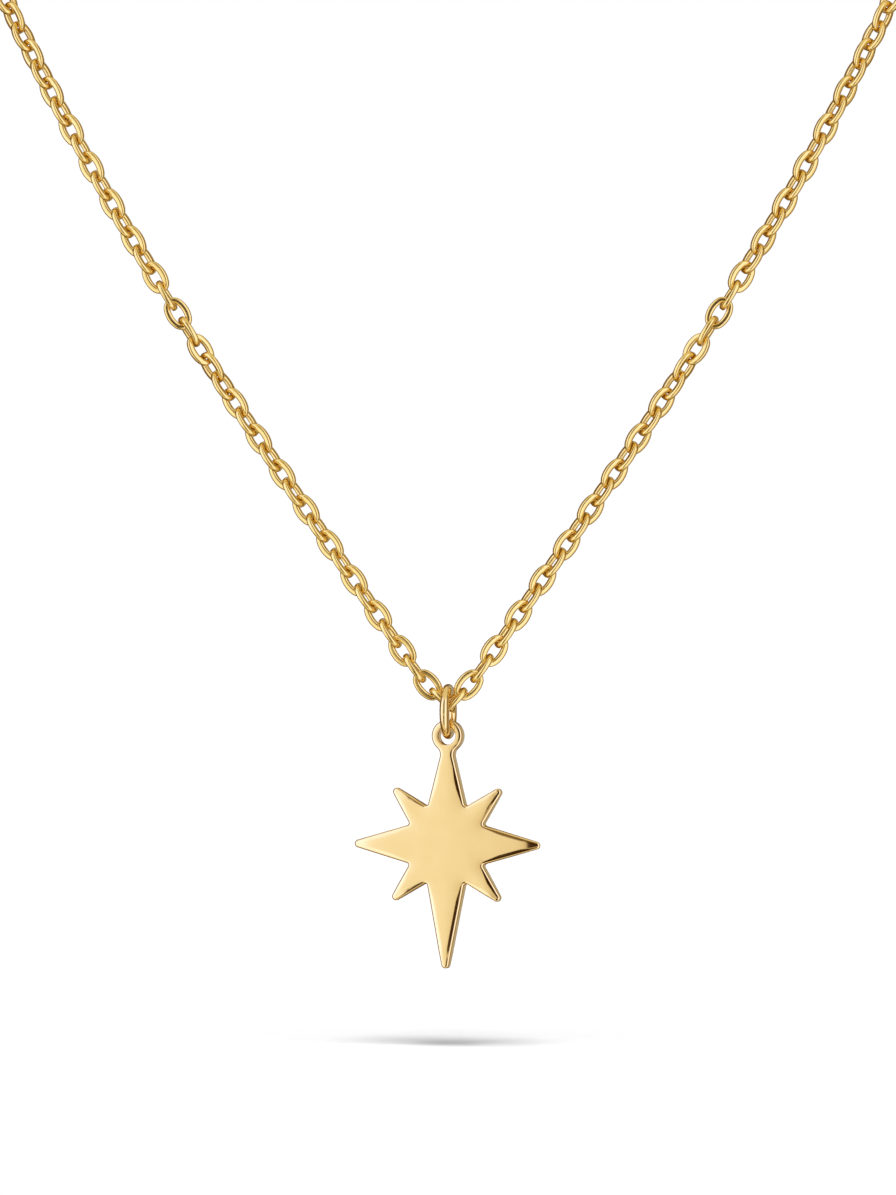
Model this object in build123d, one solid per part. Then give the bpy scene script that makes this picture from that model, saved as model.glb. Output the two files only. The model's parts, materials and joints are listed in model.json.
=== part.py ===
from build123d import *
import os
from math import acos, atan2, cos, degrees, hypot, radians, sin

# A star pendant on an oval link chain. Sizes are in millimetres and angles in degrees.
# The front faces -Y. The origin is the middle of the clasp, where the necklace
# hangs on the nape of a neck.

# Star: eight arms cut from one polished plate, with an eye on the upper arm
side_arm_reach = 8.43
lower_arm_reach = 10.8
diagonal_arm_reach = 6.82
notch_reach = 3.72
notch_turn = 27.5
tip_radius = 0.34
notch_radius = 0.2
plate_thickness = 1.35
plate_edge_radius = 0.2
eye_height = 9.5
eye_rim = 0.59
eye_edge_radius = 0.1
neck_width = 0.86
neck_sink = 0.35
neck_blend_radius = 0.8

# Oval links of round wire, each standing across the next
link_length = 3.03
link_width = 2.13
link_wire = 0.51
link_end_radius = 0.69
link_play = 0.14

# Jump ring, which holds the two strands where they cross, and the star's eye
ring_wire = 0.79
ring_clearance = 0.21
crossing_clearance = 0.19
crossing_rise = 0.54
eye_clearance = 0.4
eye_drop = 0.1

# The ring and the star hang turned to one side, and the star's foot swings to the front
ring_turn = 10.5
star_turn = 16.0
star_lean = 2.0

# Clasp, a plain ring with a smaller end ring soldered to it on a short post
clasp_width = 5.0
clasp_wire = 0.7
clasp_end_wire = 0.6
clasp_post_wire = 0.5
clasp_post_length = 0.55
clasp_play = 0.2

# Route of the right strand from the crossing to its last link, as right, back and up
strand_route = [
    (0, 0, 0),
    (1.86, 0, 1.87),
    (4.1, 0, 4.9),
    (12.5, 0.1, 17.2),
    (20.7, 0.3, 29.6),
    (29.5, 0.7, 44.0),
    (38.2, 2.0, 60.5),
    (46, 7, 77),
    (52.5, 19, 93),
    (55, 38, 106),
    (51, 58, 114.5),
    (41, 75, 119.5),
    (27, 87, 122),
    (13, 93, 123),
    (4, 94, 123),
]

# How far the links have turned about the strand, by share of its length
strand_twist = [
    (0.0, 3.0),
    (0.05, 25.0),
    (0.15, 30.0),
    (0.215, 121.0),
    (0.265, 112.0),
    (0.31, 121.0),
    (1.0, 180.0),
]
crossing_twist = {"left": -5.0, "right": 12.0}

# Places that follow from the sizes
side_step = link_wire + crossing_clearance
ring_radius = (link_width + side_step + ring_wire) / 2 + ring_clearance
eye_hole_radius = ring_wire / 2 + eye_clearance
eye_radius = eye_hole_radius + eye_rim
clasp_end = Vector(*strand_route[-1])
crossing = Vector(0, -clasp_end.Y, -clasp_end.Z)
ring_middle = crossing - Vector(0, 0, crossing_rise)
ring_foot = ring_middle - Vector(0, 0, ring_radius)
eye_middle = ring_foot - Vector(0, 0, eye_drop)


def around(angle, reach):
    """The point at this angle, clockwise from straight up, and this far from the star's middle."""
    return Vector(reach * sin(radians(angle)), reach * cos(radians(angle)))


def tangent_point(outside, middle, radius, side):
    """Where the line from a point outside touches a circle, on its side 1 or -1."""
    apart = outside - middle
    turn = side * degrees(acos(radius / apart.length))
    return middle + (apart.normalized() * radius).rotate(Axis.Z, turn)


def arm(angle, reach, first_notch, last_notch):
    """The edges of one arm, clockwise from notch to notch, with a round tip."""
    middle = around(angle, reach - tip_radius)
    start = tangent_point(first_notch, middle, tip_radius, -1)
    end = tangent_point(last_notch, middle, tip_radius, 1)
    return [
        Line(first_notch, start),
        ThreePointArc(start, around(angle, reach), end),
        Line(end, last_notch),
    ]


def star_outline():
    """The star's face round its middle, with the neck that runs up into the eye."""
    long_arms = {90: side_arm_reach, 180: lower_arm_reach, 270: side_arm_reach}
    notches = [
        around(axis + side * notch_turn, notch_reach)
        for axis in (0, 90, 180, 270)
        for side in (-1, 1)
    ]
    edges = []
    for place in range(1, 8):
        angle = 45 * place
        reach = long_arms.get(angle, diagonal_arm_reach)
        edges += arm(angle, reach, notches[place], notches[(place + 1) % 8])
    neck_top = eye_height - eye_radius + neck_sink
    neck = [Vector(-neck_width / 2, neck_top), Vector(neck_width / 2, neck_top)]
    edges += Polyline(notches[0], *neck, notches[1]).edges()
    eye_place = Vector(0, eye_height)
    face = make_face(edges) + Pos(eye_place) * Circle(eye_radius)
    joins = face.vertices().filter_by(
        lambda v: abs((Vector(v) - eye_place).length - eye_radius) < 1e-4
    )
    face = fillet(joins, neck_blend_radius)
    corners = face.vertices().filter_by(
        lambda v: any((Vector(v) - notch).length < 1e-4 for notch in notches)
    )
    return fillet(corners, notch_radius)


def star():
    """The star plate with softened edges, upright with the middle of its eye at the origin."""
    flat = Pos(0, -eye_height) * star_outline() - Circle(eye_hole_radius)
    plate = extrude(Plane.XZ * flat, plate_thickness / 2, both=True)
    rims = plate.edges().filter_by(
        lambda e: abs(abs(e.center().Y) - plate_thickness / 2) < 1e-4
    )
    holes = rims.filter_by(
        lambda e: hypot(e.position_at(0).X, e.position_at(0).Z) < eye_hole_radius + 1e-4
    )
    plate = fillet(rims - holes, plate_edge_radius)
    rims = plate.edges().filter_by(
        lambda e: abs(abs(e.center().Y) - plate_thickness / 2) < 1e-4
    )
    holes = rims.filter_by(
        lambda e: hypot(e.position_at(0).X, e.position_at(0).Z) < eye_hole_radius + 1e-4
    )
    return fillet(holes, eye_edge_radius)


def oval_path():
    """The middle line of a link, four arcs in the XY plane, long along X."""
    half_length = (link_length - link_wire) / 2
    half_width = (link_width - link_wire) / 2
    end = link_end_radius
    side = (half_length**2 + half_width**2 - 2 * half_length * end) / (2 * (half_width - end))
    join = degrees(atan2(side - half_width, half_length - end))
    return Wire(
        [
            CenterArc((half_length - end, 0), end, -join, 2 * join),
            CenterArc((0, half_width - side), side, join, 180 - 2 * join),
            CenterArc((end - half_length, 0), end, 180 - join, 2 * join),
            CenterArc((0, side - half_width), side, 180 + join, 180 - 2 * join),
        ]
    )


def link():
    """One oval link round the origin, long along X and wide along Y."""
    path = oval_path()
    section = Plane(origin=path @ 0, z_dir=path % 0) * Circle(link_wire / 2)
    return sweep(section, path).solid()


def twist_at(share):
    """The turn of the links about the strand, in straight steps between the table's rows."""
    for (start, low), (end, high) in zip(strand_twist, strand_twist[1:]):
        if share <= end:
            return low + (high - low) * (share - start) / (end - start)
    return strand_twist[-1][1]


def strand(side):
    """The links of one strand, from the crossing to the clasp. The side is left or right."""
    mirror = 1 if side == "right" else -1
    last = len(strand_route) - 1
    points = [
        Vector(mirror * x, y - mirror * side_step / 2 * (1 - place / last), z) + crossing
        for place, (x, y, z) in enumerate(strand_route)
    ]
    path = Spline(*points)
    past_crossing = (link_length - link_wire) / 2 - crossing_overlap()
    pitch = link_length - 2 * link_wire - link_play
    count = 2 * round((path.length - past_crossing) / pitch / 2)
    step = (path.length - past_crossing) / count
    shape = link()
    links = []
    for place in range(count + 1):
        reach = past_crossing + step * place
        share = reach / path.length
        twist = crossing_twist[side] if place == 0 else twist_at(share)
        along = path.tangent_at(reach, PositionMode.LENGTH)
        outward = along.cross(Vector(0, 0, 1)) * mirror
        turn = mirror * (90 * (place % 2) + twist)
        width = outward.rotate(Axis((0, 0, 0), along), turn)
        frame = Plane(
            origin=path.position_at(reach, PositionMode.LENGTH),
            x_dir=along,
            z_dir=along.cross(width),
        )
        links.append(shape.moved(frame.location))
    print(side, "strand:", len(links), "links,", round(step, 3), "apart, route", round(path.length, 1))
    return links


def crossing_overlap():
    """How far the first link's middle line runs past the crossing of the two strands."""
    return link_wire + crossing_clearance / 2


def jump_ring():
    """The round ring that carries the star, on edge to the front and turned like the star."""
    return Pos(ring_middle) * Rot(Z=-ring_turn) * Rot(Y=90) * Torus(ring_radius, ring_wire / 2)


def clasp():
    """One plain solid between the last links: a ring, a short post and a smaller ring."""
    link_reach = link_length / 2 - link_wire - clasp_play
    left = link_reach - clasp_wire / 2 - clasp_end.X
    right = clasp_end.X - link_reach + clasp_end_wire / 2
    large = (clasp_width - clasp_wire) / 2
    small = (right - left - 2 * large - clasp_post_length) / 2
    post_middle = left + 2 * large + clasp_post_length / 2
    flat_on = Rot(X=90)
    ring = Pos(left + large) * flat_on * Torus(large, clasp_wire / 2)
    post = Pos(post_middle) * Rot(Y=90) * Cylinder(clasp_post_wire / 2, clasp_post_length)
    end_ring = Pos(right - small) * flat_on * Torus(small, clasp_end_wire / 2)
    return (ring + post + end_ring).solid()


os.makedirs("parts", exist_ok=True)
hang = Pos(eye_middle) * Rot(Z=-star_turn) * Rot(X=-star_lean)
export_step(hang * star(), "parts/star.step")
export_step(jump_ring(), "parts/jump_ring.step")
for side in ("left", "right"):
    export_step(Compound(strand(side)), f"parts/chain_{side}.step")
export_step(clasp(), "parts/clasp.step")
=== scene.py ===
import json
from math import asin, atan2, ceil, cos, degrees, hypot, radians, sin, tan

import bpy
import numpy as np
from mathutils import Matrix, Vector
from mathutils.geometry import delaunay_2d_cdt


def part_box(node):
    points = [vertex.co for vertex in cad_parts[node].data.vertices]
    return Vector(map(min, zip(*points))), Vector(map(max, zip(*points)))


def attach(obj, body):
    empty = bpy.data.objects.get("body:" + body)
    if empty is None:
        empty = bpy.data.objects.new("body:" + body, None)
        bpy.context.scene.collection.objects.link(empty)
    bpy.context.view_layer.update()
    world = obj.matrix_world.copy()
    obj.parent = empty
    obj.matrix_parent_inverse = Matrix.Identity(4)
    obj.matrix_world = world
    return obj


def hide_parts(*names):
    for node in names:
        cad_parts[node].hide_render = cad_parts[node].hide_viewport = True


# Looks of a star pendant on an oval link chain. Sizes are in millimetres and angles in
# degrees, and each mesh is turned into metres when it is made. The front faces -Y.
MM = 0.001

# Outline of the star plate, as in the solid
side_arm_reach = 8.43
lower_arm_reach = 10.8
diagonal_arm_reach = 6.82
notch_reach = 3.72
notch_turn = 27.5
tip_radius = 0.34
notch_radius = 0.2
plate_thickness = 1.35
eye_height = 9.5
eye_hole_radius = 0.795
eye_radius = 1.385
eye_drop = 0.1
neck_width = 0.86
neck_sink = 0.35
neck_blend_radius = 0.8

# The star's edge, a round over its wall and then a fine bevel. The width of both together
# is small in the notches, at the tips and at the eye, and grows from there by a share of
# the way, up to its full width.
plate_edge_radius = 0.2
eye_edge_radius = 0.12
bevel_width = 0.42
bevel_notch_width = 0.22
bevel_tip_width = 0.29
bevel_eye_width = 0.3
bevel_growth = 0.12
bevel_slope = 8.0
bevel_blend = 0.04

# The star's face, which is slightly bowed from side to side and falls away to its edges
# and tips. Each fall has its drop at a straight edge and the way over which it fades.
bow_radius = 150.0
face_blend = 0.25
face_falls = [(0.09, 1.2), (0.015, 0.3)]
tip_drop = 0.13
tip_fade = 0.95

# Fineness of the star's mesh
outline_step = 0.12
outline_step_slack = 0.2  # as a share of the step
outline_arc_step = 7.0
edge_steps = 6
face_step = 0.16
face_border_room = 0.55  # as a share of the face's step
same_place = 1e-4
triangle_slack = 1e-7

# Oval links of flattened wire, wider along their sides than at their ends
link_length = 3.03
link_width = 2.13
link_wire = 0.51
link_end_radius = 0.69
side_fullness = 0.09
side_fullness_power = 4
link_squareness = 2.8
link_end_steps = 8
link_side_steps = 6
section_angles = (0, 4, 14, 32, 58, 76, 86)
merge_digits = 4

# Jump ring and clasp, with fine grooves where their wire was cut or opens
ring_radius = 2.02
ring_wire = 0.79
ring_cut_angle = 52.0
clasp_width = 5.0
clasp_wire = 0.7
clasp_end_wire = 0.6
clasp_cut_angles = (35.0, 62.0)
clasp_post_wire = 0.5
clasp_post_length = 0.55
clasp_post_sink = 0.1
clasp_solder = 0.08
clasp_solder_power = 4
cut_width = 0.07
cut_depth = 0.05
cut_rows = (-1, -0.5, -0.2, 0, 0.2, 0.5, 1)  # as shares of the groove's width
ring_steps = 128
post_steps = 16
wire_steps = 32

# Gold. Each kind has two tones, how smooth and how rough it gets, the size of its clouds
# of tone, and how strongly they and the fine scratches ripple it.
golds = {
    "plate_gold": {
        "pale": (0.965, 0.735, 0.35),
        "warm": (0.945, 0.705, 0.32),
        "smooth": 0.07,
        "rough": 0.12,
        "cloud_size": 1.6,
        "ripple": 0.1,
    },
    "wire_gold": {
        "pale": (0.955, 0.71, 0.25),
        "warm": (0.93, 0.68, 0.22),
        "smooth": 0.19,
        "rough": 0.25,
        "cloud_size": 0.9,
        "ripple": 0.2,
    },
    "ring_gold": {
        "pale": (0.95, 0.72, 0.32),
        "warm": (0.91, 0.67, 0.28),
        "smooth": 0.08,
        "rough": 0.13,
        "cloud_size": 0.9,
        "ripple": 0.15,
    },
}
cloud_detail = 3.0
cloud_roughness = 0.5
grain_size = 0.06
grain_detail = 4.0
grain_roughness = 0.6
noise_range = (0.3, 0.7)
wave_height = 0.02
scratch_height = 0.001
scratch_share = 0.25

# Camera and floor
photo_height = 1195
pixel_size = 0.08743
view_centre = (-0.02, -94.0, -113.57)
camera_distance = 500.0
camera_near = 10.0
floor_height = -152.87
floor_size = 16000.0
floor_tones = (0.79, 0.81)
floor_speck_size = 2.5
floor_speck_detail = 2.0
floor_speck_roughness = 0.5

# Lamp above the front, which lights the floor
lamp_turn = 0.0
lamp_height = 71.5
lamp_softness = 30.0
lamp_strength = 3.53

# Studio round the object, as soft patches of light and dark over a plain base. Each has a
# turn from the camera's side (left is negative) with half its width, a height with half
# its width, how far it fades out, and its colour. Later rows lie over earlier ones. The
# metal reflects the studio, but the floor gets a plain weak light in its place.
studio_on_floor = 0.24
studio_base = (0.68, 0.58, 0.43)
studio = [
    ("front_softbox", -58, 36, 5, 62, 24, (0.98, 0.98, 0.98)),
    ("left_softbox", -68, 19, 12, 50, 28, (1.3, 1.42, 2.2)),
    ("high_softbox", -70, 38, 50, 30, 40, (1.2, 1.3, 1.95)),
    ("low_softbox", -30, 70, -66, 30, 30, (0.84, 0.76, 0.62)),
    ("chain_softbox", -52, 18, -25, 9, 8, (1.25, 1.28, 1.6)),
    ("right_softbox", 38, 24, 0, 66, 8, (1.25, 1.3, 1.8)),
    ("back_wall", 180, 92, 0, 90, 14, (0.2, 0.12, 0.04)),
    ("right_wall", 142, 20, 0, 90, 12, (0.47, 0.43, 0.36)),
    ("front_slot", -1, 13, 26, 34, 5, (0.045, 0.018, 0.002)),
    ("high_flag", -7, 18, 36, 15, 5, (0.2, 0.13, 0.05)),
    ("low_flag", -12, 13, -36, 21, 5, (0.045, 0.018, 0.002)),
    ("ceiling", 0, 200, 90, 40, 16, (0.8, 0.73, 0.58)),
]

# Sockets of a node that mixes two colours, by their place in its lists
mix_share = 0
mix_below = 6
mix_above = 7
mix_result = 2


def around(angle, reach):
    """The point at this angle, clockwise from straight up, and this far from the star's middle."""
    return np.array([reach * sin(radians(angle)), reach * cos(radians(angle))])


def distances(places, others):
    """How far each place is from each of the others."""
    return np.linalg.norm(places[:, None] - np.array(others)[None], axis=2)


def outline_arc(middle, radius, start, end, hollow):
    """Points and outward normals along an arc. A hollow arc has the metal outside it."""
    count = max(2, ceil(abs(end - start) / outline_arc_step))
    angles = np.radians(np.linspace(start, end, count + 1))
    spokes = np.column_stack([np.cos(angles), np.sin(angles)])
    return middle + radius * spokes, -spokes if hollow else spokes


def arc_between(middle, start, end, hollow):
    """The shorter arc round a middle from one point to another."""
    first = degrees(atan2(*(start - middle)[::-1]))
    last = degrees(atan2(*(end - middle)[::-1]))
    turn = (last - first + 180) % 360 - 180
    return outline_arc(middle, np.linalg.norm(start - middle), first, first + turn, hollow)


def round_corner(before, corner, after, radius):
    """The arc that rounds one corner of an outline that runs clockwise."""
    back = (before - corner) / np.linalg.norm(before - corner)
    ahead = (after - corner) / np.linalg.norm(after - corner)
    half = np.arccos(np.clip(back @ ahead, -1, 1)) / 2
    inward = (back + ahead) / np.linalg.norm(back + ahead)
    middle = corner + inward * radius / sin(half)
    reach = radius / tan(half)
    hollow = back[0] * ahead[1] - back[1] * ahead[0] < 0
    return arc_between(middle, corner + back * reach, corner + ahead * reach, hollow)


def arm_reaches():
    """The angle of each arm clockwise from straight up, with its reach, but for the upper arm."""
    long_arms = {90: side_arm_reach, 180: lower_arm_reach, 270: side_arm_reach}
    return [(angle, long_arms.get(angle, diagonal_arm_reach)) for angle in range(45, 360, 45)]


def arm_tips():
    """The outermost point of each arm but the upper one."""
    return [around(angle, reach) for angle, reach in arm_reaches()]


def arm_point(angle, reach, half_width, base):
    """Where the straight edges of an arm would meet, beyond its round tip."""
    middle = reach - tip_radius
    lean = atan2(half_width, middle - base) - asin(tip_radius / hypot(half_width, middle - base))
    return around(angle, base + half_width / tan(lean))


def notch_places():
    """Where the straight edges meet between the arms, clockwise from left of the upper arm."""
    return [
        around(axis + side * notch_turn, notch_reach)
        for axis in (0, 90, 180, 270)
        for side in (-1, 1)
    ]


def star_outline():
    """Points and outward normals round the star, clockwise from right of the upper arm."""
    notches = notch_places()
    corners = []
    for place, (angle, reach) in enumerate(arm_reaches(), 1):
        # Every other arm is a diagonal one, which has its notches nearer beside it
        beside = 45 - notch_turn if place % 2 else notch_turn
        half_width, base = around(beside, notch_reach)
        corners.append((notches[place], notch_radius))
        corners.append((arm_point(angle, reach, half_width, base), tip_radius))
    corners.append((notches[0], notch_radius))

    neck_top = eye_height - eye_radius + neck_sink
    neck_left = np.array([-neck_width / 2, neck_top])
    neck_right = np.array([neck_width / 2, neck_top])
    path = [neck_right] + [corner for corner, _ in corners] + [neck_left]
    arcs = [
        round_corner(path[k], corner, path[k + 2], radius)
        for k, (corner, radius) in enumerate(corners)
    ]

    eye = np.array([0.0, eye_height])
    along = (neck_left - notches[0]) / np.linalg.norm(neck_left - notches[0])
    outward = np.array([-along[1], along[0]])
    start = notches[0] + neck_blend_radius * outward - eye
    apart = eye_radius + neck_blend_radius
    ahead = -(start @ along) - np.sqrt((start @ along) ** 2 - start @ start + apart**2)
    middle = eye + start + ahead * along
    touch = eye + (middle - eye) * eye_radius / apart
    blend, blend_normals = arc_between(middle, middle - neck_blend_radius * outward, touch, True)
    turn = degrees(atan2(*(touch - eye)[::-1])) % 360
    mirror = np.array([-1, 1])
    arcs.append((blend, blend_normals))
    arcs.append(outline_arc(eye, eye_radius, turn, 180 - turn, False))
    arcs.append((blend[::-1] * mirror, blend_normals[::-1] * mirror))
    return divided(arcs)


def divided(arcs):
    """One closed outline from arcs, with even points along the straight runs between them."""
    points = np.vstack([arc[0] for arc in arcs])
    normals = np.vstack([arc[1] for arc in arcs])
    keep = np.linalg.norm(np.roll(points, -1, axis=0) - points, axis=1) > same_place
    points, normals = points[keep], normals[keep]
    dense, dense_normals = [], []
    for k in range(len(points)):
        following = (k + 1) % len(points)
        length = np.linalg.norm(points[following] - points[k])
        count = max(1, ceil(length / outline_step - outline_step_slack))
        for share in np.arange(count) / count:
            dense.append(points[k] * (1 - share) + points[following] * share)
            dense_normals.append(normals[k] if share == 0 else normals[following])
    return np.array(dense), np.array(dense_normals)


def fall_of_face(places, outline):
    """How far the face lies below its highest level at each place."""
    spans = np.linalg.norm(np.roll(outline, -1, axis=0) - np.roll(outline, 1, axis=0), axis=1)
    fades = np.exp(-distances(places, outline) / face_blend)
    # Nearness is 1 on a straight edge, and sinks to 0 far inside the face
    nearness = (fades * (spans / 2)).sum(axis=1) / (2 * face_blend)
    falls = sum(drop * nearness ** (face_blend / fade) for drop, fade in face_falls)
    to_tips = distances(places, arm_tips())
    tips = tip_drop * np.exp(-((to_tips / tip_fade) ** 2)).sum(axis=1)
    return places[:, 0] ** 2 / (2 * bow_radius) + falls + tips


def bevel_widths(outline):
    """How far the bevel reaches in from the wall at each point of the outline."""
    to_notch = distances(outline, notch_places()).min(axis=1)
    to_tip = np.clip(distances(outline, arm_tips()).min(axis=1) - 2 * tip_radius, 0, None)
    below_neck = np.clip(eye_height - 2 * eye_radius - outline[:, 1], 0, None)
    widths = [
        np.full(len(outline), bevel_width),
        bevel_notch_width + bevel_growth * to_notch,
        bevel_tip_width + bevel_growth * to_tip,
        bevel_eye_width + bevel_growth * below_neck,
    ]
    return np.minimum.reduce(widths)


def edge_profile(radius, slope, widths):
    """Insets and drops from a face down to the wall, over a bevel and then a round edge.

    The widths say how far the bevel reaches in at each point of the loop. With no slope
    there is no bevel.
    """
    angles = np.radians(np.linspace(slope, 90, edge_steps + 1))
    insets = radius * (1 - np.sin(angles))
    drops = radius * (np.cos(angles[0]) - np.cos(angles))
    bevel, bevel_drop = [], 0
    if slope:
        blend_drop = bevel_blend * tan(radians(slope / 2))
        bevel = [(widths, 0), (widths - bevel_blend, blend_drop)]
        bevel_drop = blend_drop + (widths - bevel_blend - insets[0]) * tan(radians(slope))
    return bevel + [
        (np.full(len(widths), inset), drop + bevel_drop) for inset, drop in zip(insets, drops)
    ]


def edge_rows(loop, outward, profile, outline):
    """Rows of vertices from the front face's border over the edge and wall to the back's."""
    rows = []
    for side in (1, -1):
        for inset, drop in profile[::side]:
            ring = loop - outward * inset[:, None]
            level = plate_thickness / 2 - drop - fall_of_face(ring, outline)
            rows.append(np.column_stack([ring[:, 0], -side * level, ring[:, 1]]))
    return rows


def lies_inside(places, loop):
    """Whether each place lies inside a closed loop."""
    after = np.roll(loop, -1, axis=0)
    x, y = places[:, 0, None], places[:, 1, None]
    crosses = (loop[:, 1] > y) != (after[:, 1] > y)
    # A level edge is never crossed, so any rise but 0 does for it
    rise = np.where(after[:, 1] == loop[:, 1], 1, after[:, 1] - loop[:, 1])
    meets = loop[:, 0] + (y - loop[:, 1]) * (after[:, 0] - loop[:, 0]) / rise
    return (crosses & (x < meets)).sum(axis=1) % 2 == 1


def face_grid(outer, hole):
    """Even points over the face, clear of its borders."""
    low, high = outer.min(axis=0), outer.max(axis=0)
    rise = face_step * sin(radians(60))
    grid = np.array(
        [
            (x + face_step / 2 * (row % 2), y)
            for row, y in enumerate(np.arange(low[1], high[1], rise))
            for x in np.arange(low[0], high[0], face_step)
        ]
    )
    grid = grid[lies_inside(grid, outer) & ~lies_inside(grid, hole)]
    room = distances(grid, np.vstack([outer, hole])).min(axis=1)
    return grid[room > face_step * face_border_room]


def face_triangles(outer, hole, grid):
    """Triangles over the face, whose corners count the outer border, the hole and the grid."""
    edges = [
        (first + k, first + (k + 1) % count)
        for first, count in ((0, len(outer)), (len(outer), len(hole)))
        for k in range(count)
    ]
    places = np.vstack([outer, hole, grid])
    cut = delaunay_2d_cdt([Vector(place) for place in places], edges, [], 0, triangle_slack)
    triangles = np.array(cut[2])
    middles = places[triangles].mean(axis=1)
    return triangles[lies_inside(middles, outer) & ~lies_inside(middles, hole)]


def star_mesh():
    """Vertices and faces of the star, with the middle of its eye at the origin."""
    outline, normals = star_outline()
    hole, spokes = outline_arc(np.array([0.0, eye_height]), eye_hole_radius, 0, 360, True)
    hole, spokes = hole[:-1], spokes[:-1]
    edge = edge_profile(plate_edge_radius, bevel_slope, bevel_widths(outline))
    hole_edge = edge_profile(eye_edge_radius, 0, np.zeros(len(hole)))

    # The edges and walls, round the outline and then round the hole
    vertices, faces, borders = [], [], []
    for loop, outward, profile in ((outline, normals, edge), (hole, spokes, hole_edge)):
        rows = edge_rows(loop, outward, profile, outline)
        first, count = len(vertices), len(loop)
        vertices.extend(np.vstack(rows))
        last = first + (len(rows) - 1) * count
        borders.append((first + np.arange(count), last + np.arange(count)))
        for row in range(len(rows) - 1):
            for k in range(count):
                a = first + row * count + k
                b = first + row * count + (k + 1) % count
                faces.append((a, b, b + count, a + count))

    # The front face and the back face, which share their triangles
    flat = np.array(vertices)[:, [0, 2]]
    outer, inner = flat[borders[0][0]], flat[borders[1][0]]
    grid = face_grid(outer, inner)
    triangles = face_triangles(outer, inner, grid)
    level = plate_thickness / 2 - fall_of_face(grid, outline)
    for back, side in enumerate((1, -1)):
        grid_numbers = len(vertices) + np.arange(len(grid))
        vertices.extend(np.column_stack([grid[:, 0], -side * level, grid[:, 1]]))
        numbers = np.concatenate([borders[0][back], borders[1][back], grid_numbers])
        faces.extend(tuple(corners) for corners in numbers[triangles[:, ::side]])
    vertices = np.array(vertices)
    vertices[:, 2] -= eye_height
    return vertices, faces


def tube_faces(rows, columns, closed=True):
    """The faces of a tube whose vertices run round each section in turn."""
    faces = []
    for row in range(rows if closed else rows - 1):
        for column in range(columns):
            a = row * columns + column
            b = row * columns + (column + 1) % columns
            c = (row + 1) % rows * columns + (column + 1) % columns
            d = (row + 1) % rows * columns + column
            faces.append((a, d, c, b))
    return faces


def oval_path():
    """Points, outward normals and fullness along the middle line of a link, long along X.

    The fullness is 1 in the middle of the link's sides and 0 at its ends.
    """
    half_length = (link_length - link_wire) / 2
    half_width = (link_width - link_wire) / 2
    end = link_end_radius
    side = (half_length**2 + half_width**2 - 2 * half_length * end) / (2 * (half_width - end))
    join = degrees(atan2(side - half_width, half_length - end))
    arcs = [
        ((half_length - end, 0), end, -join, 2 * join, link_end_steps),
        ((0, half_width - side), side, join, 180 - 2 * join, link_side_steps),
        ((end - half_length, 0), end, 180 - join, 2 * join, link_end_steps),
        ((0, side - half_width), side, 180 + join, 180 - 2 * join, link_side_steps),
    ]
    points, normals = [], []
    for middle, radius, start, turn, steps in arcs:
        for step in range(steps):
            angle = radians(start + turn * step / steps)
            spoke = np.array([cos(angle), sin(angle), 0])
            points.append(np.array([*middle, 0]) + radius * spoke)
            normals.append(spoke)
    normals = np.array(normals)
    return np.array(points), normals, normals[:, 1] ** side_fullness_power


def wire_section():
    """The outline of a flattened wire, as shares of its half width and half depth."""
    quarter = np.radians(section_angles)
    angles = np.concatenate([quarter + turn for turn in np.radians((0, 90, 180, 270))])
    root = 1 / (link_squareness - 1)
    across = np.abs(np.cos(angles)) ** root
    deep = np.abs(np.sin(angles)) ** root
    size = (across**link_squareness + deep**link_squareness) ** (1 / link_squareness)
    return np.sign(np.cos(angles)) * across / size, np.sign(np.sin(angles)) * deep / size


def link_mesh():
    """Vertices and faces of one link of flattened wire."""
    path, normals, fullness = oval_path()
    across, deep = wire_section()
    half_width = link_wire / 2 + side_fullness / 2 * fullness
    path = path - normals * (side_fullness / 2 * fullness)[:, None]
    vertices = (
        path[:, None]
        + normals[:, None] * (half_width[:, None] * across)[:, :, None]
        + np.array([0, 0, 1]) * (link_wire / 2 * deep)[None, :, None]
    )
    return vertices.reshape(-1, 3), tube_faces(len(path), len(across))


def link_places(node):
    """The middle and the long, wide and flat directions of each link in a CAD node."""
    mesh = node.data
    points = np.empty(len(mesh.vertices) * 3)
    mesh.vertices.foreach_get("co", points)
    corners = np.empty(len(mesh.loops), int)
    mesh.loops.foreach_get("vertex_index", corners)
    points, index = np.unique(
        np.round(points.reshape(-1, 3) / MM, merge_digits), axis=0, return_inverse=True
    )
    faces = index.reshape(-1)[corners].reshape(-1, 3)
    # Each point takes the lowest label that its faces hold, till each link has one label
    labels = np.arange(len(points))
    while True:
        lowest = labels[faces].min(axis=1)
        spread = labels.copy()
        for corner in faces.T:
            np.minimum.at(spread, corner, lowest)
        spread = spread[spread]
        if (spread == labels).all():
            break
        labels = spread
    places = []
    for label in np.unique(labels):
        cloud = points[labels == label]
        middle = cloud.mean(axis=0)
        axes = np.linalg.svd(cloud - middle, full_matrices=False)[2]
        axes[2] = np.cross(axes[0], axes[1])
        reach = (cloud - middle) @ axes.T
        middle = middle + (reach.max(axis=0) + reach.min(axis=0)) / 2 @ axes
        places.append((middle, axes))
    return places


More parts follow.
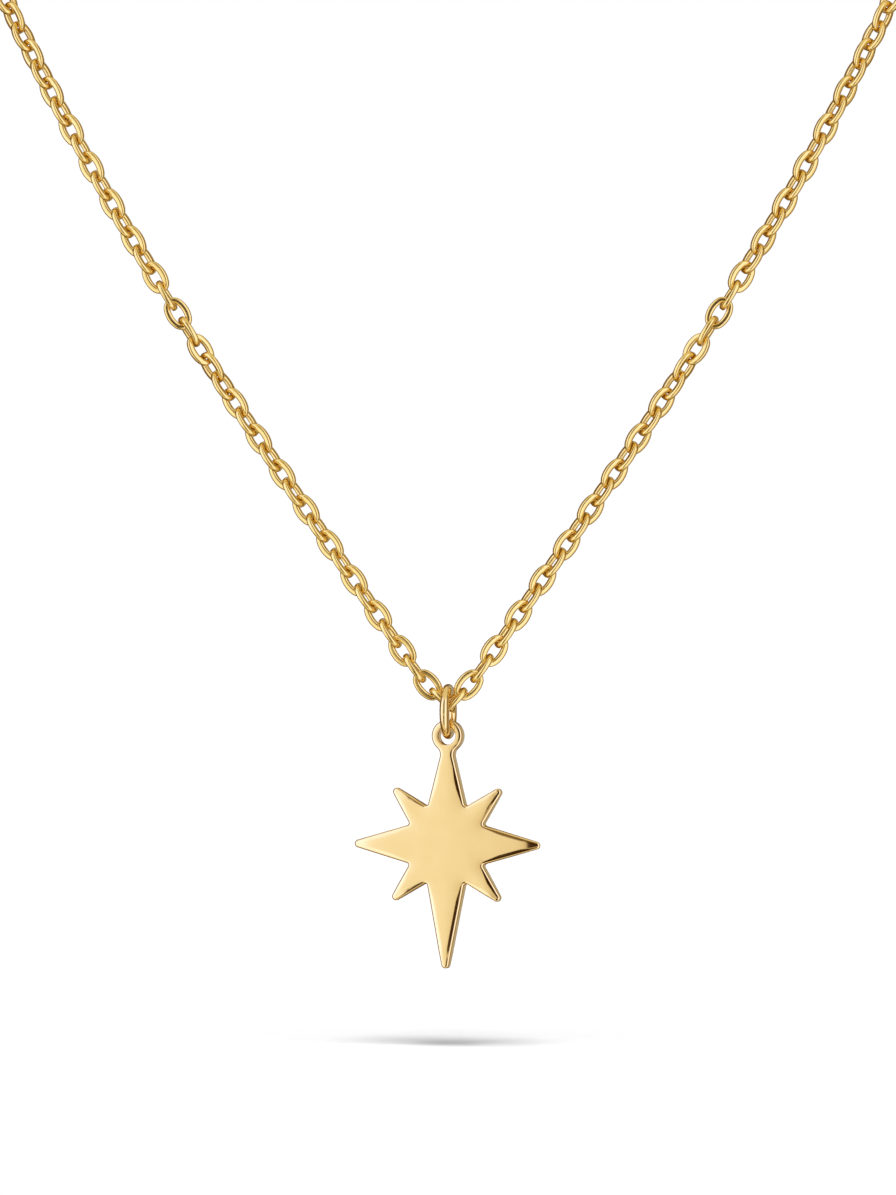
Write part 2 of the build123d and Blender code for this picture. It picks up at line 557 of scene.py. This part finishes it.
def ring_mesh(radius, wire, cut_angles=()):
    """Vertices and faces of a wire ring round Z, with a fine groove at each cut."""
    cut_turn = degrees(cut_width / radius)
    turns = set(np.arange(ring_steps) * 360 / ring_steps)
    for cut in cut_angles:
        turns = {turn for turn in turns if abs(turn - cut) > cut_turn}
        turns |= {cut + cut_turn * row for row in cut_rows}
    turns = np.array(sorted(turns))
    thin = np.zeros(len(turns))
    for cut in cut_angles:
        thin += cut_depth * np.clip(1 - np.abs(turns - cut) / (cut_turn / 2), 0, 1)
    around_ring = np.radians(turns)[:, None]
    angles = np.linspace(0, 2 * np.pi, wire_steps, endpoint=False)[None]
    section = wire / 2 - thin[:, None]
    reach = radius + section * np.cos(angles)
    vertices = np.stack(
        [reach * np.cos(around_ring), reach * np.sin(around_ring), section * np.sin(angles)],
        axis=2,
    )
    return vertices.reshape(-1, 3), tube_faces(len(turns), wire_steps)


def post_mesh():
    """Vertices and faces of the clasp's round post along X, which widens into solder."""
    shares = np.linspace(-1, 1, post_steps + 1)
    widths = clasp_post_wire / 2 + clasp_solder * np.abs(shares) ** clasp_solder_power
    length = clasp_post_length + 2 * clasp_post_sink
    angles = np.linspace(0, 2 * np.pi, wire_steps, endpoint=False)
    rows = [
        np.column_stack([np.full(wire_steps, x), width * np.cos(angles), width * np.sin(angles)])
        for x, width in zip(shares * length / 2, widths)
    ]
    faces = tube_faces(len(rows), wire_steps, closed=False)
    faces.append(tuple(range(wire_steps)))
    faces.append(tuple(reversed(range((len(rows) - 1) * wire_steps, len(rows) * wire_steps))))
    return np.vstack(rows), faces


def joined(meshes):
    """One mesh from several, each as its vertices and faces."""
    vertices, faces, first = [], [], 0
    for points, mesh_faces in meshes:
        vertices.append(points)
        faces.extend(tuple(first + corner for corner in face) for face in mesh_faces)
        first += len(points)
    return np.vstack(vertices), faces


def add_piece(name, vertices, faces, material, body, replaced):
    """A smooth piece from millimetre vertices, which rides on a body for the nodes it replaces."""
    mesh = bpy.data.meshes.new(name)
    faces = [tuple(map(int, face)) for face in faces]
    mesh.from_pydata((np.asarray(vertices) * MM).tolist(), [], faces)
    mesh.polygons.foreach_set("use_smooth", [True] * len(mesh.polygons))
    mesh.materials.append(material)
    piece = bpy.data.objects.new(name, mesh)
    bpy.context.scene.collection.objects.link(piece)
    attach(piece, body)
    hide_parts(*replaced)


def add_star(swing, material):
    """The star, placed by the joint that it swings about."""
    back = -Vector(swing["axis"])
    aside = Vector((back.y, -back.x, 0)).normalized()
    upright = aside.cross(back)
    eye_middle = Vector(swing["pos_m"]) / MM - Vector((0, 0, eye_drop))
    vertices, faces = star_mesh()
    vertices = vertices @ np.array([aside, back, upright]) + np.array(eye_middle)
    add_piece("star_plate", vertices, faces, material, "pendant", ["star"])


def add_jump_ring(swing, material):
    """The jump ring, placed by the joint that it swings about."""
    side = Vector(swing["axis"])
    upright = Vector((0, 0, 1))
    vertices, faces = ring_mesh(ring_radius, ring_wire, [ring_cut_angle])
    vertices = vertices @ np.array([upright.cross(side), upright, side])
    vertices = vertices + np.array(swing["pos_m"]) / MM
    add_piece("jump_ring_wire", vertices, faces, material, "ring", ["jump_ring"])


def add_chain(strand, node, material):
    """A strand with a fine link wherever its CAD node has one.

    The links are trimmed where their flat wire would stand proud of the node's box.
    """
    link, link_faces = link_mesh()
    links = [(middle + link @ axes, link_faces) for middle, axes in link_places(node)]
    vertices, faces = joined(links)
    low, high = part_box(strand)
    vertices = np.clip(vertices, np.array(low) / MM, np.array(high) / MM)
    add_piece(strand + "_links", vertices, faces, material, "necklace", [strand])


def add_clasp(material):
    """The clasp's ring, post and end ring, from the left side to the right of its CAD node."""
    low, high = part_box("clasp")
    left_side = low.x / MM
    right_side = high.x / MM
    large = (clasp_width - clasp_wire) / 2
    post_start = left_side + clasp_width
    small = (right_side - post_start - clasp_post_length - clasp_end_wire) / 2
    flat_on = np.array([(1, 0, 0), (0, 0, 1), (0, -1, 0)])
    parts = [
        (ring_mesh(large, clasp_wire, clasp_cut_angles), left_side + clasp_width / 2, flat_on),
        (ring_mesh(small, clasp_end_wire), right_side - clasp_end_wire / 2 - small, flat_on),
        (post_mesh(), post_start + clasp_post_length / 2, np.eye(3)),
    ]
    vertices, faces = joined(
        (points @ axes + np.array([middle, 0, 0]), part_faces)
        for (points, part_faces), middle, axes in parts
    )
    add_piece("clasp_rings", vertices, faces, material, "necklace", ["clasp"])


def add_node(tree, kind, inputs=None, **settings):
    """A shader node with its settings, and its inputs as values or as links from sockets."""
    made = tree.nodes.new(kind)
    for name, value in settings.items():
        setattr(made, name, value)
    for name, value in (inputs or {}).items():
        if isinstance(value, bpy.types.NodeSocket):
            tree.links.new(value, made.inputs[name])
        else:
            made.inputs[name].default_value = value
    return made


def add_maths(tree, operation, *values):
    """The result of a maths node with these values or sockets."""
    made = add_node(tree, "ShaderNodeMath", dict(enumerate(values)), operation=operation)
    return made.outputs[0]


def add_mix(tree, share, below, above, name="mix"):
    """The colour that comes of laying a share of one colour over another."""
    made = add_node(
        tree,
        "ShaderNodeMix",
        {mix_share: share, mix_below: below, mix_above: above},
        name=name,
        data_type="RGBA",
    )
    return made.outputs[mix_result]


def add_noise(tree, place, size, detail, roughness):
    """The level of a cloudy noise, whose clouds are about this size."""
    made = add_node(
        tree,
        "ShaderNodeTexNoise",
        {"Vector": place, "Scale": 1 / (size * MM), "Detail": detail, "Roughness": roughness},
    )
    return made.outputs["Fac"]


def gold(name, pale, warm, smooth, rough, cloud_size, ripple):
    """Polished gold, a little uneven in tone, shine and level."""
    material = bpy.data.materials.new(name)
    material.use_nodes = True
    tree = material.node_tree
    tree.nodes.clear()
    place = add_node(tree, "ShaderNodeTexCoord").outputs["Object"]
    clouds = add_noise(tree, place, cloud_size, cloud_detail, cloud_roughness)
    grain = add_noise(tree, place, grain_size, grain_detail, grain_roughness)
    tone = add_node(tree, "ShaderNodeValToRGB", {"Fac": clouds})
    for element, position, colour in zip(tone.color_ramp.elements, noise_range, (pale, warm)):
        element.position = position
        element.color = (*colour, 1)
    shine = add_node(
        tree,
        "ShaderNodeMapRange",
        {
            "Value": grain,
            "From Min": noise_range[0],
            "From Max": noise_range[1],
            "To Min": smooth,
            "To Max": rough,
        },
    )
    waves = add_node(
        tree,
        "ShaderNodeBump",
        {"Height": clouds, "Strength": ripple, "Distance": wave_height * MM},
    )
    scratches = add_node(
        tree,
        "ShaderNodeBump",
        {
            "Height": grain,
            "Strength": ripple * scratch_share,
            "Distance": scratch_height * MM,
            "Normal": waves.outputs["Normal"],
        },
    )
    surface = add_node(
        tree,
        "ShaderNodeBsdfPrincipled",
        {
            "Base Color": tone.outputs["Color"],
            "Roughness": shine.outputs["Result"],
            "Metallic": 1.0,
            "Normal": scratches.outputs["Normal"],
        },
    )
    add_node(tree, "ShaderNodeOutputMaterial", {"Surface": surface.outputs["BSDF"]})
    return material


def add_floor():
    """A plain pale floor that isn't seen in the metal, where the studio patches stand for it."""
    material = bpy.data.materials.new("pale_floor")
    material.use_nodes = True
    tree = material.node_tree
    tree.nodes.clear()
    place = add_node(tree, "ShaderNodeTexCoord").outputs["Object"]
    specks = add_noise(tree, place, floor_speck_size, floor_speck_detail, floor_speck_roughness)
    tone = add_node(tree, "ShaderNodeValToRGB", {"Fac": specks})
    for element, level in zip(tone.color_ramp.elements, floor_tones):
        element.color = (level, level, level, 1)
    surface = add_node(tree, "ShaderNodeBsdfDiffuse", {"Color": tone.outputs["Color"]})
    add_node(tree, "ShaderNodeOutputMaterial", {"Surface": surface.outputs["BSDF"]})
    half = floor_size / 2 * MM
    mesh = bpy.data.meshes.new("floor")
    corners = [(-half, -half, 0), (half, -half, 0), (half, half, 0), (-half, half, 0)]
    mesh.from_pydata(corners, [], [(0, 1, 2, 3)])
    mesh.materials.append(material)
    floor = bpy.data.objects.new("floor", mesh)
    floor.location = (0, view_centre[1] * MM, floor_height * MM)
    floor.visible_glossy = False
    bpy.context.scene.collection.objects.link(floor)


def patch_share(tree, way, rise, turn, turn_width, height, height_width, fade):
    """How strongly a studio patch shows in each direction, from 0 outside it to 1 inside."""
    ahead = (sin(radians(turn)), -cos(radians(turn)), 0)
    aside = (cos(radians(turn)), sin(radians(turn)), 0)
    parts = [
        add_node(tree, "ShaderNodeVectorMath", {0: way, 1: to}, operation="DOT_PRODUCT")
        for to in (aside, ahead)
    ]
    swing = add_maths(tree, "ARCTAN2", *(part.outputs["Value"] for part in parts))
    above = add_maths(tree, "SUBTRACT", rise, radians(height))
    shares = [
        add_node(
            tree,
            "ShaderNodeMapRange",
            {
                "Value": add_maths(tree, "ABSOLUTE", angle),
                "From Min": radians(width - fade / 2),
                "From Max": radians(width + fade / 2),
                "To Min": 1.0,
                "To Max": 0.0,
            },
            interpolation_type="SMOOTHSTEP",
        )
        for angle, width in ((swing, turn_width), (above, height_width))
    ]
    return add_maths(tree, "MULTIPLY", *(share.outputs["Result"] for share in shares))


def add_studio():
    """Soft light from all round, white where the camera looks straight at it."""
    world = bpy.data.worlds.new("studio")
    bpy.context.scene.world = world
    world.use_nodes = True
    tree = world.node_tree
    tree.nodes.clear()
    way = add_node(tree, "ShaderNodeTexCoord").outputs["Generated"]
    up = add_node(tree, "ShaderNodeSeparateXYZ", {"Vector": way}).outputs["Z"]
    rise = add_maths(tree, "ARCSINE", up)
    light = (*studio_base, 1)
    for name, *place_and_size, colour in studio:
        share = patch_share(tree, way, rise, *place_and_size)
        light = add_mix(tree, share, light, (*colour, 1), name)
    kind = add_node(tree, "ShaderNodeLightPath").outputs
    weak = (studio_on_floor, studio_on_floor, studio_on_floor, 1)
    spread = add_mix(tree, kind["Is Diffuse Ray"], light, weak)
    shown = add_mix(tree, kind["Is Camera Ray"], spread, (1, 1, 1, 1))
    background = add_node(tree, "ShaderNodeBackground", {"Color": shown})
    add_node(tree, "ShaderNodeOutputWorld", {"Surface": background.outputs["Background"]})


def add_lamp():
    """A soft lamp that throws the star's shadow on the floor."""
    towards = Vector(
        (
            sin(radians(lamp_turn)) * cos(radians(lamp_height)),
            -cos(radians(lamp_turn)) * cos(radians(lamp_height)),
            sin(radians(lamp_height)),
        )
    )
    lamp = bpy.data.lights.new("lamp", "SUN")
    lamp.energy = lamp_strength
    lamp.angle = radians(lamp_softness)
    holder = bpy.data.objects.new("lamp", lamp)
    holder.rotation_euler = towards.to_track_quat("Z", "Y").to_euler()
    holder.visible_glossy = False
    bpy.context.scene.collection.objects.link(holder)


def add_camera():
    """The camera straight in front, with a lens that frames what the photograph shows."""
    camera = bpy.data.cameras.new("camera")
    # The sensor's width lies along the picture's longer side, which is its height
    camera.lens = camera.sensor_width * camera_distance / (photo_height * pixel_size)
    camera.clip_start = camera_near * MM
    holder = bpy.data.objects.new("camera", camera)
    holder.location = Vector(view_centre) * MM - Vector((0, camera_distance * MM, 0))
    holder.rotation_euler = (radians(90), 0, 0)
    bpy.context.scene.collection.objects.link(holder)
    bpy.context.scene.camera = holder


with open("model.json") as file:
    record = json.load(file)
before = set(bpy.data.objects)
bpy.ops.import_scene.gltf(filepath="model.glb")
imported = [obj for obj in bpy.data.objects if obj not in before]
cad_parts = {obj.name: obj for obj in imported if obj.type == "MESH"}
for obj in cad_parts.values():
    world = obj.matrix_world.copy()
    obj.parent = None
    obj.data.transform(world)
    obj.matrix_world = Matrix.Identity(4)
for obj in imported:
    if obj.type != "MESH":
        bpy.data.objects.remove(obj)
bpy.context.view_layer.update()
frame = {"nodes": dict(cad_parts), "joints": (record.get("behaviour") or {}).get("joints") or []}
joints = {joint["name"]: joint for joint in frame["joints"]}

bpy.context.scene.view_settings.view_transform = "Standard"
add_camera()
add_floor()
add_studio()
add_lamp()

materials = {name: gold(name, **look) for name, look in golds.items()}
add_star(joints["star_swing"], materials["plate_gold"])
add_jump_ring(joints["ring_swing"], materials["ring_gold"])
for strand in ("chain_left", "chain_right"):
    add_chain(strand, frame["nodes"][strand], materials["wire_gold"])
add_clasp(materials["wire_gold"])
